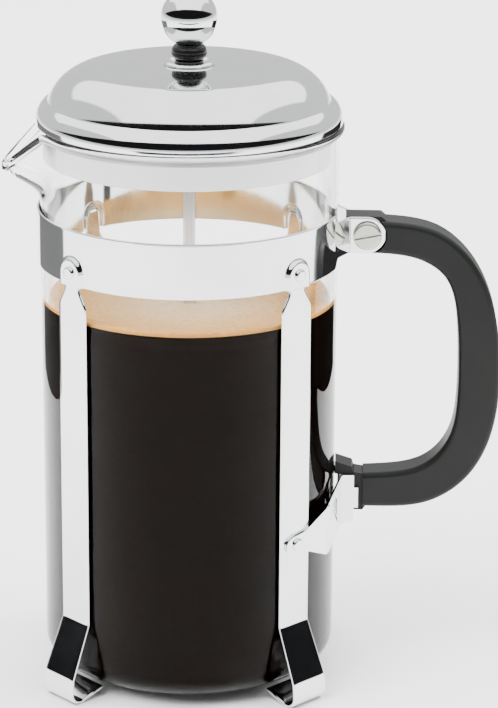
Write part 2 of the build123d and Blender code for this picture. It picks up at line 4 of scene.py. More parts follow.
import bmesh
import bpy
import numpy as np
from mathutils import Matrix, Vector

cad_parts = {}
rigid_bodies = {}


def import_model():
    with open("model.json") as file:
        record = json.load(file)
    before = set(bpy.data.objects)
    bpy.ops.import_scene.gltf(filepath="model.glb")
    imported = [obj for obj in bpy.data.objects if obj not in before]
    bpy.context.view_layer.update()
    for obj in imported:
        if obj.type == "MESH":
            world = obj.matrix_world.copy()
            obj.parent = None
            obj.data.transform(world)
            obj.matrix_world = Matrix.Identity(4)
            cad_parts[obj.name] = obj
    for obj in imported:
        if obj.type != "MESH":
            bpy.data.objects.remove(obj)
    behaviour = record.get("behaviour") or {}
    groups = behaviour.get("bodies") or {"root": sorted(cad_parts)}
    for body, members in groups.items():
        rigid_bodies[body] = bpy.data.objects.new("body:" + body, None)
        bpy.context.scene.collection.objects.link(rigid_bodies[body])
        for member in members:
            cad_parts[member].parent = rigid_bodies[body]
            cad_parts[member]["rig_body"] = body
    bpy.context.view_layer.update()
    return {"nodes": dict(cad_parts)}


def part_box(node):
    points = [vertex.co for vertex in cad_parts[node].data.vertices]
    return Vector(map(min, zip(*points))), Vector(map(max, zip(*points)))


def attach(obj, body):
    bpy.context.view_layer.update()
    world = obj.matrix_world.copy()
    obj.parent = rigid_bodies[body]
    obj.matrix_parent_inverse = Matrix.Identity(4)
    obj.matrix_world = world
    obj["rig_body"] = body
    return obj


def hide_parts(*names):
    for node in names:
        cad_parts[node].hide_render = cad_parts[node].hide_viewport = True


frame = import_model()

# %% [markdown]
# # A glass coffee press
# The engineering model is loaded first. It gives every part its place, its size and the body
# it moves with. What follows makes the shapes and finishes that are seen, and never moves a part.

nodes = frame["nodes"]
mm = 0.001
scene = bpy.context.scene
print("parts loaded:", len(nodes))

# %% [markdown]
# ## Surfaces from arrays
# Most of a press is spun or bent sheet, so two kinds of grid make nearly all of it: an outline
# turned about the axis, and a section carried along a path. Both are worked out as whole arrays.


# %% Turning arrays into a mesh
def grid_faces(rows, columns, wrap_rows=False, wrap_columns=False):
    """Corners of every square of a grid whose vertex (i, j) has the number i * columns + j."""
    i = np.arange(rows if wrap_rows else rows - 1)[:, None]
    j = np.arange(columns if wrap_columns else columns - 1)[None, :]
    i2, j2 = (i + 1) % rows, (j + 1) % columns
    corners = [i * columns + j, i2 * columns + j, i2 * columns + j2, i * columns + j2]
    return np.stack(np.broadcast_arrays(*corners), axis=-1).reshape(-1, 4)


def make_piece(name, points, faces):
    """A mesh object from an array of points and one of squares. Doubled points, as at a pole, are merged."""
    mesh = bpy.data.meshes.new(name)
    mesh.vertices.add(len(points))
    mesh.vertices.foreach_set("co", np.asarray(points, np.float32).ravel())
    mesh.loops.add(faces.size)
    mesh.loops.foreach_set("vertex_index", faces.astype(np.int32).ravel())
    mesh.polygons.add(len(faces))
    mesh.polygons.foreach_set("loop_start", np.arange(0, faces.size, 4, dtype=np.int32))
    mesh.update(calc_edges=True)
    work = bmesh.new()
    work.from_mesh(mesh)
    bmesh.ops.remove_doubles(work, verts=work.verts, dist=2e-6)
    bmesh.ops.recalc_face_normals(work, faces=work.faces)
    work.to_mesh(mesh)
    work.free()
    mesh.polygons.foreach_set("use_smooth", np.ones(len(mesh.polygons), bool))
    mesh.update()
    piece = bpy.data.objects.new(name, mesh)
    scene.collection.objects.link(piece)
    return piece


def stand_for(piece, node):
    """The piece takes the place and the body of one engineering part, which is hidden."""
    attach(piece, nodes[node]["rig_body"])
    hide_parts(node)
    print(f"{piece.name}: {len(piece.data.polygons)} faces for {node}")
    return piece


# %% Outlines, and turning them about the axis
def arc(centre, radius, start, end, count):
    """Points on a circle: centre plus radius times (cosine, sine) of evenly spaced angles in degrees."""
    turn = np.radians(np.linspace(start, end, count))
    return np.stack([centre[0] + radius * np.cos(turn), centre[1] + radius * np.sin(turn)], axis=1)


def straight(start, end, count):
    """Evenly spaced points on a line."""
    return np.linspace(start, end, count)


def spin(name, outline, turns=256):
    """A closed outline of (radius, height) turned about Z: x = r cos t, y = r sin t, z = h."""
    turn = np.linspace(0, 2 * np.pi, turns, endpoint=False)
    r, h = outline[:, 0][:, None], outline[:, 1][:, None]
    points = np.stack(np.broadcast_arrays(r * np.cos(turn), r * np.sin(turn), h), axis=-1)
    return make_piece(name, points.reshape(-1, 3), grid_faces(len(outline), turns, True, True))


# %% Bending a path and carrying a strip along it
def bent_path(corners, radius, count=9):
    """A path of straight runs with each inner corner rounded to an arc of the radius.

    The arc touches both runs at radius * tan(turn / 2) from the corner, and is drawn as the
    blend of the corner's two unit directions.
    """
    corners = np.asarray(corners, float)
    before, after = corners[1:-1] - corners[:-2], corners[2:] - corners[1:-1]
    before /= np.linalg.norm(before, axis=1)[:, None]
    after /= np.linalg.norm(after, axis=1)[:, None]
    turn = np.arccos(np.clip((before * after).sum(1), -1, 1))
    reach = radius * np.tan(turn / 2)
    share = np.linspace(0, 1, count)[None, :, None]
    angle = turn[:, None, None]
    side = after - before * np.cos(turn)[:, None]
    side /= np.maximum(np.linalg.norm(side, axis=1)[:, None], 1e-9)
    start = corners[1:-1] - before * reach[:, None]
    bends = start[:, None] + radius * (
        before[:, None] * np.sin(share * angle) + side[:, None] * (1 - np.cos(share * angle))
    )
    return np.concatenate([corners[:1], bends.reshape(-1, 2), corners[-1:]])


def resampled(path, step):
    """The path with points added so that no two are further apart than the step."""
    length = np.concatenate([[0], np.cumsum(np.linalg.norm(np.diff(path, axis=0), axis=1))])
    even = np.linspace(0, length[-1], max(2, int(length[-1] / step)))
    places = np.union1d(length, even)
    return np.stack([np.interp(places, length, path[:, k]) for k in range(path.shape[1])], axis=1), places


def strip(middle, across, normal, half_width, thickness, lanes=9):
    """The grid of a bent strip with rolled edges and ends.

    At each place on the path the section is a flat slot: out by half the thickness along the
    normal over the width, round a half circle at each edge, and back on the other side. Past
    each end the slot shrinks by the cosine of an angle while it moves on by its sine.
    """
    edge = thickness / 2
    round_off = np.radians([90, 60, 30])
    first, last = middle[0] - middle[1], middle[-1] - middle[-2]
    first, last = first / np.linalg.norm(first), last / np.linalg.norm(last)
    start = middle[0] + edge * np.sin(round_off)[:, None] * first
    end = middle[-1] + edge * np.sin(round_off[::-1])[:, None] * last
    middle = np.concatenate([start, middle, end])
    across, normal = (np.concatenate([v[:1]] * 3 + [v] + [v[-1:]] * 3) for v in (across, normal))
    half_width = np.pad(half_width, 3, mode="edge")
    slimming = np.ones(len(middle))
    slimming[:3], slimming[-3:] = np.cos(round_off), np.cos(round_off[::-1])
    lane, flat = np.linspace(-1, 1, lanes), np.zeros(lanes)
    roll = np.radians(np.linspace(90, -90, 7)[1:-1])
    sideways = np.concatenate([lane, 0 * roll + 1, lane[::-1], 0 * roll - 1])
    beyond = np.concatenate([flat, np.cos(roll), flat, -np.cos(roll)])
    outward = np.concatenate([flat + 1, np.sin(roll), flat - 1, -np.sin(roll)])
    core = np.maximum(half_width - edge, 0)[:, None]
    offset = core * sideways + edge * slimming[:, None] * beyond
    height = edge * slimming[:, None] * outward
    points = middle[:, None] + across[:, None] * offset[..., None] + normal[:, None] * height[..., None]
    return points

# %% [markdown]
# ## The glass beaker
# Blown glass has no sharp corner anywhere: the foot is a soft curve, the rim is melted into a
# bead, and the spout is pulled out of the wall while it is hot. One grid of height against angle
# holds all of that, because the spout is only a swelling of the radius.

# %% Sizes of the glass
glass_low, glass_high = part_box("beaker")
glass_radius = 48.0 * mm
glass_wall = 2.0 * mm
floor_thickness = 2.5 * mm
rim_height = glass_high.z
spout_reach = -glass_low.x - glass_radius
spout_height = glass_low.z + 161.8 * mm
spout_flare = 2.9 * mm
spout_spread = 16.0
lip_fall = 14.2 * mm
lip_start = 45.0 * mm
bead = 1.2 * mm
print("glass stands from", round(glass_low.z / mm, 2), "to", round(rim_height / mm, 2), "mm")


# %% The wall and its spout
def wall_radius(turn, height, radius, rise=0.0):
    """Radius of the glass: a circle, plus a smooth step in height times a bell about the spout's angle."""
    step = (1 + np.tanh((height - rise - spout_height) / spout_flare)) / 2
    away = np.degrees(np.abs(turn - np.pi))
    return radius + spout_reach * step * np.exp(-((away / spout_spread) ** 2))


def rim_at(turn):
    """Height of the rim at each angle, where the wall meets the sloping plane of the lip, by halving."""
    low = np.full_like(turn, rim_height - 2 * lip_fall)
    high = np.full_like(turn, rim_height)
    slope = lip_fall / (glass_radius + spout_reach - lip_start)
    for _ in range(40):
        middle = (low + high) / 2
        out = -wall_radius(turn, middle, glass_radius) * np.cos(turn)
        above = middle > rim_height - slope * np.maximum(out - lip_start, 0)
        high, low = np.where(above, middle, high), np.where(above, low, middle)
    return high


def beaker_points(turns):
    """The outside from the middle of the foot to the rim, over the bead, and down the inside."""
    turn = np.linspace(0, 2 * np.pi, turns, endpoint=False)[None, :]
    top = rim_at(turn)
    foot = 7.0 * mm
    base = glass_low.z
    under = straight((0, base), (glass_radius - foot, base), 12)
    heel = arc((glass_radius - foot, base + foot), foot, -90, 0, 12)
    share = np.concatenate([np.linspace(0, 0.76, 24), np.linspace(0.76, 1, 90)[1:]])[1:, None]
    wall_start = base + foot
    height = wall_start + (top - 2.5 * bead - wall_start) * share
    outside = wall_radius(turn, height, glass_radius)
    edge = wall_radius(turn, top, glass_radius)
    round_bead = arc((0.7 * mm, -bead), bead, -80, 90, 12)
    swelling = (edge - glass_radius) / spout_reach
    bead_r, bead_h = edge + round_bead[:, :1] * (1 - 0.95 * swelling), top + round_bead[:, 1:]
    inner_edge = arc((-glass_wall + 0.7 * mm, -0.7 * mm), 0.7 * mm, 90, 180, 6)
    inner_r, inner_h = edge + inner_edge[:, :1] - 0.6 * mm * swelling, top + inner_edge[:, 1:]
    floor = base + floor_thickness
    inner_foot = foot - glass_wall
    down = wall_radius(turn, height[::-1], glass_radius - glass_wall, 0.8 * glass_wall)
    down_height = np.maximum(height[::-1], floor + inner_foot)
    inside_heel = arc((glass_radius - foot, floor + inner_foot), inner_foot, 0, -90, 12)
    inside_floor = straight((glass_radius - foot, floor), (0, floor), 12)
    fixed = [(under, heel), (inside_heel, inside_floor)]
    around = np.ones_like(turn)
    rows_r, rows_h = [], []
    for part in fixed[0]:
        rows_r.append(part[:, :1] * around), rows_h.append(part[:, 1:] * around)
    rows_r += [outside, bead_r, inner_r, down]
    rows_h += [height, bead_h, inner_h, down_height]
    for part in fixed[1]:
        rows_r.append(part[:, :1] * around), rows_h.append(part[:, 1:] * around)
    r, h = np.concatenate(rows_r), np.concatenate(rows_h)
    return np.stack([r * np.cos(turn), r * np.sin(turn), h], axis=-1)


# %% Making the beaker
glass_grid = beaker_points(320)
glass_beaker = make_piece(
    "glass_beaker", glass_grid.reshape(-1, 3), grid_faces(*glass_grid.shape[:2], False, True)
)
stand_for(glass_beaker, "beaker")
glass_beaker.visible_shadow = False

# %% [markdown]
# ## Coffee and its crema
# The press is full, and what it holds gives most of its colour. The coffee is one solid of
# revolution that meets the glass, so that no air shows between them. The crema is a second one
# on top, whose upper face is raised into bubbles by summed domes at seeded random places.

# %% Coffee
coffee_top = 126.7 * mm
crema_top = 127.8 * mm
dish_drop = 3.6 * mm
bore = glass_radius - glass_wall
soak = 0.25 * mm


def dished(radius, height):
    """Height of the drink's face: level in the middle, and climbing to the glass as the sixth power
    of the radius."""
    return height - dish_drop * (1 - np.clip(radius / bore, 0, 1) ** 6)


def filled(low, high, count=24):
    """Outline of what fills the beaker between two heights, a hair into the glass at the side."""
    foot = 5.0 * mm
    floor = glass_low.z + floor_thickness
    if low < floor + foot:
        start = np.concatenate(
            [straight((0, floor - soak), (bore - foot, floor - soak), 8),
             arc((bore - foot, floor + foot), foot + soak, -90, 0, 12)]
        )
    else:
        start = straight((0, low), (bore + soak, low), 12)
    side = straight(start[-1], (bore + soak, high), count)[1:]
    face = np.linspace(bore + soak, 0, 40)[1:]
    return np.concatenate([start, side, np.column_stack([face, dished(face, high)])])


def poured(name, outline, turns=192):
    """An open outline from axis to axis turned into a closed body."""
    turn = np.linspace(0, 2 * np.pi, turns, endpoint=False)
    r, h = outline[:, 0][:, None], outline[:, 1][:, None]
    points = np.stack(np.broadcast_arrays(r * np.cos(turn), r * np.sin(turn), h), axis=-1)
    return make_piece(name, points.reshape(-1, 3), grid_faces(len(outline), turns, False, True))


coffee = poured("coffee", filled(0, coffee_top))
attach(coffee, "beaker")


# %% Crema with bubbles on its face
def bubbled(radius, turn, height, bubbles, seed):
    """Height plus the tallest of many small domes, each sqrt(size^2 - distance^2) high at its middle."""
    chance = np.random.default_rng(seed)
    place = bore * np.sqrt(chance.random(bubbles)) * np.exp(2j * np.pi * chance.random(bubbles))
    size = chance.uniform(0.5, 1.25, bubbles) ** 2 * 0.9 * mm
    spot = (radius * np.exp(1j * turn)).ravel()
    raised = np.zeros(spot.size)
    for low in range(0, spot.size, 4000):
        distance = np.abs(spot[low:low + 4000, None] - place[None])
        raised[low:low + 4000] = np.sqrt(np.maximum(size**2 - distance**2, 0)).max(axis=1)
    return height + raised.reshape(radius.shape) * 0.45


def crema_points():
    """The side runs up the glass; the face is a disc of rings whose height carries the bubbles."""
    turn = np.linspace(0, 2 * np.pi, 288, endpoint=False)[None, :]
    below = np.linspace(0, bore + soak, 40)
    under = np.column_stack([below, dished(below, coffee_top)])
    side = straight((bore + soak, coffee_top), (bore + soak, crema_top), 8)[1:]
    rings = np.linspace(bore + soak, 0, 130)[1:, None]
    face_r = rings * np.ones_like(turn)
    face_h = bubbled(face_r, turn * np.ones_like(rings), dished(face_r, crema_top), 2600, 7)
    r = np.concatenate([under[:, :1] + 0 * turn, side[:, :1] + 0 * turn, face_r])
    h = np.concatenate([under[:, 1:] + 0 * turn, side[:, 1:] + 0 * turn, face_h])
    return np.stack([r * np.cos(turn), r * np.sin(turn), h], axis=-1)


crema_grid = crema_points()
crema = make_piece("crema", crema_grid.reshape(-1, 3), grid_faces(*crema_grid.shape[:2], False, True))
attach(crema, "beaker")
print("coffee to", coffee_top / mm, "mm, crema to", crema_top / mm, "mm")

# %% [markdown]
# ## The lid
# The dome is spun from sheet: a nearly flat cap, a tight shoulder, a cove and an upright brim.
# Each of those is one arc, and the inside is the same outline set in by the sheet's thickness.

# %% Dome
lid_low, lid_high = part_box("lid_dome")
sheet = 0.8 * mm
cap_radius = 480.0 * mm
shoulder_radius = 15.4 * mm
dome_foot_radius = 46.2 * mm
cove_height = 192.0 * mm
cove_depth, cove_inset, cove_bend_drop = 5.6 * mm, 0.9 * mm, 2.6 * mm
brim_radius = lid_high.x
hole_radius = 4.65 * mm
cap_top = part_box("lid_washer")[0].z - 0.05 * mm
shoulder_reach = dome_foot_radius - shoulder_radius
shoulder_turn = math.asin(shoulder_reach / (cap_radius - shoulder_radius))
shoulder_height = cap_top - cap_radius + (cap_radius - shoulder_radius) * math.cos(shoulder_turn)
cove_turn = math.asin((cove_height - shoulder_height) / shoulder_radius)


def through(first, middle, last, count):
    """Points on the circle through three points, from the first to the last."""
    (ax, ay), (bx, by), (cx, cy) = first, middle, last
    d = 2 * (ax * (by - cy) + bx * (cy - ay) + cx * (ay - by))
    squares = [x * x + y * y for x, y in (first, middle, last)]
    x = (squares[0] * (by - cy) + squares[1] * (cy - ay) + squares[2] * (ay - by)) / d
    y = (squares[0] * (cx - bx) + squares[1] * (ax - cx) + squares[2] * (bx - ax)) / d
    turns = np.unwrap([math.atan2(q - y, p - x) for p, q in (first, middle, last)])
    return arc((x, y), math.hypot(ax - x, ay - y), math.degrees(turns[0]), math.degrees(turns[2]), count)


def dome_skin(inset):
    """One side of the dome's sheet, from the hole out to the brim's edge."""
    centre = cap_top - cap_radius
    hole_turn = math.degrees(math.asin(hole_radius / cap_radius))
    start = 90 - math.degrees(shoulder_turn)
    cap = arc((0, centre), cap_radius - inset, 90 - hole_turn, start, 60)
    shoulder_centre = (shoulder_reach, shoulder_height)
    shoulder = arc(shoulder_centre, shoulder_radius - inset, start, math.degrees(cove_turn), 40)
    brim = brim_radius - inset
    bottom = cove_height - cove_depth
    bend = (brim - cove_inset + inset * 0.1, cove_height - cove_bend_drop - inset * 0.5)
    cove = through(shoulder[-1], bend, (brim, bottom), 22)
    brim_wall = straight((brim, bottom), (brim, lid_low.z + 0.4 * mm), 5)
    return np.concatenate([cap, shoulder[1:], cove[1:], brim_wall[1:]])


outer_skin = dome_skin(0)
inner_skin = dome_skin(sheet)[::-1]
rolled_edge = arc((brim_radius - sheet / 2, lid_low.z + sheet / 2), sheet / 2, 0, -180, 9)[1:-1]
dome = spin("spun_lid_dome", np.concatenate([outer_skin, rolled_edge, inner_skin]), 288)
stand_for(dome, "lid_dome")

# %% Skirt, washer, collar and ball
skirt_low, skirt_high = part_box("lid_skirt")
skirt_outer, skirt_inner = 45.5 * mm, 44.9 * mm
flange_edge = skirt_high.x
flange_low = skirt_high.z - 0.6 * mm
skirt_outline = np.concatenate([
    arc(((skirt_outer + skirt_inner) / 2, skirt_low.z + 0.3 * mm), 0.3 * mm, -180, 0, 7),
    straight((skirt_outer, skirt_low.z + 0.4 * mm), (skirt_outer, flange_low - 0.4 * mm), 16),
    arc((skirt_outer + 0.4 * mm, flange_low - 0.4 * mm), 0.4 * mm, 180, 90, 5)[1:-1],
    straight((skirt_outer + 0.4 * mm, flange_low), (flange_edge - 0.3 * mm, flange_low), 3),
    arc((flange_edge - 0.3 * mm, flange_low + 0.3 * mm), 0.3 * mm, -90, 90, 7)[1:],
    straight((flange_edge - 0.3 * mm, skirt_high.z), (skirt_inner + 0.9 * mm, skirt_high.z), 3)[1:],
    arc((skirt_inner + 0.9 * mm, skirt_high.z - 0.9 * mm), 0.9 * mm, 90, 180, 6)[1:],
    straight((skirt_inner, skirt_high.z - 1.0 * mm), (skirt_inner, skirt_low.z + 0.4 * mm), 16),
])
skirt = spin("lid_splash_ring", skirt_outline)
stand_for(skirt, "lid_skirt")

washer_low, washer_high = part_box("lid_washer")
washer_radius = washer_high.x
washer_hollow = washer_low.z + 0.4 * mm
washer_outline = np.concatenate([
    straight((hole_radius, washer_low.z), (washer_radius - 0.1 * mm, washer_low.z), 6),
    through((washer_radius, washer_low.z), (washer_radius - 0.4 * mm, washer_low.z + 0.7 * mm),
            (washer_radius - 1.4 * mm, washer_high.z), 12),
    straight((washer_radius - 2.2 * mm, washer_hollow), (hole_radius + 0.5 * mm, washer_hollow), 6),
    straight((hole_radius, washer_low.z + 0.6 * mm), (hole_radius, washer_low.z + 0.1 * mm), 3),
])
washer = spin("knob_escutcheon", washer_outline, 160)
stand_for(washer, "lid_washer")

collar_low, collar_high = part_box("knob_ferrule")
collar_radius = collar_high.x
rod_hole = 2.05 * mm
collar_skin = through((4.0 * mm, collar_low.z), (collar_radius, (collar_low.z + collar_high.z) / 2),
                      (3.9 * mm, collar_high.z), 32)
collar = spin("knob_collar", np.concatenate([
    straight((rod_hole, collar_low.z), (3.9 * mm, collar_low.z), 4),
    collar_skin,
    straight((3.8 * mm, collar_high.z), (rod_hole, collar_high.z - 0.6 * mm), 4),
]), 160)
stand_for(collar, "knob_ferrule")

ball_low, ball_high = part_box("ball_knob")
ball_radius = ball_high.x
ball_middle = ball_high.z - ball_radius
ball_bore_end = ball_low.z + 6 * mm
bore_turn = math.degrees(math.asin(rod_hole / ball_radius))
ball_skin = arc((0, ball_middle), ball_radius, 90, -90 + bore_turn, 120)
ball_bore = straight((rod_hole, ball_skin[-1, 1] + 0.1 * mm), (rod_hole, ball_bore_end), 5)
ball = poured("ball_knob_polished", np.concatenate([ball_skin, ball_bore, [[0, ball_bore_end]]]))
stand_for(ball, "ball_knob")


# %% [markdown]
# ## The strap frame
# A split band goes round the glass and folds out into two ears. Four strips hang from pockets
# pressed in the band, run down the glass and bend into feet. All five are the same idea: a flat
# section with rolled edges carried along a bent path. The pockets are pressed into the band's
# grid afterwards, by moving points outward inside an arch-shaped outline.

# %% Band and its pockets
band_low, band_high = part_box("band")
strap = 0.8 * mm
frame_radius = 48.3 * mm
band_path_radius = frame_radius + strap / 2
band_end = 16.0
ear_side = 4.65 * mm
ear_height = 12.1 * mm
ear_middle_height = 148.8 * mm
ear_tip = 63.55 * mm
band_middle_height = (band_low.z + band_high.z) / 2
leg_turn = 44.0
leg_turns = {"front_left": 180 + leg_turn, "front_right": 360 - leg_turn,
             "back_left": 180 - leg_turn, "back_right": leg_turn}
rivet_height = 143.8 * mm
pocket_outline = 5.0 * mm
pocket_face = 50.35 * mm


def smooth_step(value):
    """0 below 0, 1 above 1, and 3v^2 - 2v^3 between."""
    value = np.clip(value, 0, 1)
    return value * value * (3 - 2 * value)


def band_points():
    """The band's grid: ear, circle and ear in plan, with a height that narrows into each ear."""
    end_turn = math.radians(band_end)
    open_point = band_path_radius * np.array([math.cos(end_turn), math.sin(end_turn)])
    circle = arc((0, 0), band_path_radius, band_end, 360 - band_end, 720)
    into_ear = np.array([[ear_tip - strap / 2, ear_side], [51.6 * mm, ear_side], open_point, circle[4]])
    first = resampled(bent_path(into_ear, 1.6 * mm), 0.45 * mm)[0]
    plan = np.concatenate([first, circle[5:-5], first[::-1] * [1, -1]])
    along = np.gradient(plan, axis=0)
    along /= np.linalg.norm(along, axis=1)[:, None]
    normal = np.stack([along[:, 1], -along[:, 0], 0 * along[:, 0]], axis=1)
    turn = np.abs(np.degrees(np.arctan2(plan[:, 1], plan[:, 0])))
    from_end = np.hypot(plan[:, 0] - open_point[0], np.abs(plan[:, 1]) - open_point[1])
    in_ear = np.where(turn < band_end, smooth_step(from_end / (2.2 * mm) - 0.1), 0)
    ear_round = ear_height / 2
    beyond = np.clip(plan[:, 0] - (ear_tip - ear_round), 0, ear_round * 0.995)
    ear_half = np.sqrt(ear_round**2 - beyond**2)
    half = (band_high.z - band_low.z) / 2 * (1 - in_ear) + ear_half * in_ear
    height = band_middle_height * (1 - in_ear) + ear_middle_height * in_ear
    middle = np.column_stack([plan, height])
    upward = np.tile([0.0, 0.0, 1.0], (len(plan), 1))
    points = strip(middle, upward, normal, half, strap, 41)
    # the pockets: a flat face pushed out inside a round-topped outline about each rivet
    radius = np.hypot(points[..., 0], points[..., 1])
    angle = np.degrees(np.arctan2(points[..., 1], points[..., 0]))
    push = np.zeros_like(radius)
    for turn in leg_turns.values():
        away = np.radians((angle - turn + 180) % 360 - 180)
        sideways = np.where(np.abs(away) < 0.3, band_path_radius * np.sin(away), 1.0)
        above = np.maximum(points[..., 2] - rivet_height, 0)
        inside = smooth_step((pocket_outline - np.hypot(sideways, above)) / (0.9 * mm) + 0.1)
        flat = pocket_face / np.maximum(np.cos(away), 0.5) - (frame_radius + strap)
        push = np.maximum(push, inside * flat)
    push = np.where(radius < 51.2 * mm, push, 0)
    outward = points[..., :2] / radius[..., None]
    points[..., :2] += outward * push[..., None]
    return points


band_grid = band_points()
band = make_piece("strap_band", band_grid.reshape(-1, 3), grid_faces(*band_grid.shape[:2], False, True))
stand_for(band, "band")


# %% Legs
knee_height, ankle_height = 26 * mm, 8.5 * mm
ankle_reach, toe_reach, toe_back, tuck_reach = 7.4 * mm, 8.4 * mm, 3.8 * mm, 5.1 * mm
leg_bend, leg_step = 3.0 * mm, 1.2 * mm


def leg_points(turn):
    """One strip in its own upright plane: down the glass, out over the knee, flat on the toe, and in
    under the foot."""
    thick = 1.2 * mm
    half = thick / 2
    middle = frame_radius + half
    corners = np.array([
        [middle, rivet_height + 3.3 * mm - half],
        [middle, knee_height],
        [middle + ankle_reach, ankle_height],
        [middle + toe_reach, half],
        [middle + toe_back, half],
        [middle - tuck_reach + half, glass_low.z - 0.25 * mm - half],
    ])
    path = resampled(bent_path(corners, leg_bend, 13), leg_step)[0]
    along = np.gradient(path, axis=0)
    along /= np.linalg.norm(along, axis=1)[:, None]
    c, s = math.cos(math.radians(turn)), math.sin(math.radians(turn))
    place = np.column_stack([path[:, 0] * c, path[:, 0] * s, path[:, 1]])
    normal = np.column_stack([-along[:, 1] * c, -along[:, 1] * s, along[:, 0]])
    across = np.tile([-s, c, 0.0], (len(path), 1))
    levels = np.array([0, 26, 133, 138, 143.8]) * mm
    widths = np.array([7.5, 6.5, 6.5, 3.3, 3.3]) * mm
    half_width = np.interp(path[:, 1], levels, widths)
    above = np.clip(path[:, 1] - rivet_height, 0, 3.2 * mm)
    half_width = half_width * np.sqrt(1 - (above / (3.3 * mm)) ** 2)
    return strip(place, across, normal, half_width, thick, 9)


for side, turn in leg_turns.items():
    grid = leg_points(turn)
    leg = make_piece(f"strap_leg_{side}", grid.reshape(-1, 3), grid_faces(*grid.shape[:2], False, True))
    stand_for(leg, f"leg_{side}")

# %% [markdown]
# ## The plunger's edge and its stamped neighbours
# The ring that wipes the glass is a fine wire wound into a close coil, so it is drawn as a helix
# about a circle. Stamped parts keep their engineering shape, and a copy gets small bevels, because
# no real edge is sharp and the bevel is what catches the light.

# %% Coil spring at the filter's edge
spring_low, spring_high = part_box("edge_spring")
tube = (spring_high.z - spring_low.z) / 2
ring = spring_high.x - tube
wire = 0.3 * mm
coils, steps = 170, 14


def coil_points():
    """A helix about a circle, t from 0 to 2 pi and f = coils * t, with a round wire about it."""
    t = np.linspace(0, 2 * np.pi, coils * steps, endpoint=False)
    f = coils * t
    out = np.stack([np.cos(f) * np.cos(t), np.cos(f) * np.sin(t), np.sin(f)], axis=1)
    centre = np.stack([ring * np.cos(t), ring * np.sin(t), 0 * t + spring_low.z + tube], axis=1)
    path = centre + (tube - wire) * out
    along = np.roll(path, -1, 0) - np.roll(path, 1, 0)
    along /= np.linalg.norm(along, axis=1)[:, None]
    side = np.cross(along, out)
    g = np.linspace(0, 2 * np.pi, 6, endpoint=False)
    return path[:, None] + wire * (out[:, None] * np.cos(g)[:, None] + side[:, None] * np.sin(g)[:, None])


coil_grid = coil_points()
coil = make_piece("wiper_coil", coil_grid.reshape(-1, 3), grid_faces(*coil_grid.shape[:2], True, True))
stand_for(coil, "edge_spring")


# %% Bevelled copies of the stamped and cut parts
def softened(node, width):
    """A welded copy of an engineering part with small bevels on its sharp edges."""
    mesh = nodes[node].data.copy()
    work = bmesh.new()
    work.from_mesh(mesh)
    bmesh.ops.remove_doubles(work, verts=work.verts, dist=2e-6)
    bmesh.ops.dissolve_limit(work, angle_limit=0.002, verts=work.verts, edges=work.edges)
    work.to_mesh(mesh)
    work.free()
    piece = bpy.data.objects.new("finished_" + node, mesh)
    scene.collection.objects.link(piece)
    bevel = piece.modifiers.new("edges", "BEVEL")
    bevel.width, bevel.segments, bevel.limit_method = width, 2, "ANGLE"
    bevel.angle_limit, bevel.harden_normals = math.radians(40), False
    return stand_for(piece, node)


bracket = softened("lower_bracket", 0.18 * mm)
screw = softened("handle_screw", 0.12 * mm)
nut = softened("handle_nut", 0.25 * mm)

# %% [markdown]
# ## Writing finishes as arithmetic
# A finish is a small program. The class below wraps one socket, so that a line such as
# 0.1 + 0.05 * scratches adds the Math nodes it needs.


# %% A socket that can be added and multiplied
class Field:
    """One output socket, or a plain number, with arithmetic that adds Math nodes."""

    def __init__(self, finish, socket):
        self.finish, self.socket = finish, socket

    def _maths(self, operation, *values):
        return self.finish.node("ShaderNodeMath", {"operation": operation}, dict(enumerate(values)))[0]

    def __add__(self, other):
        return self._maths("ADD", self, other)

    __radd__ = __add__

    def __mul__(self, other):
        return self._maths("MULTIPLY", self, other)

    __rmul__ = __mul__

    def __sub__(self, other):
        return self._maths("SUBTRACT", self, other)

    def __rsub__(self, other):
        return self._maths("SUBTRACT", other, self)

    def __pow__(self, other):
        return self._maths("POWER", self, other)


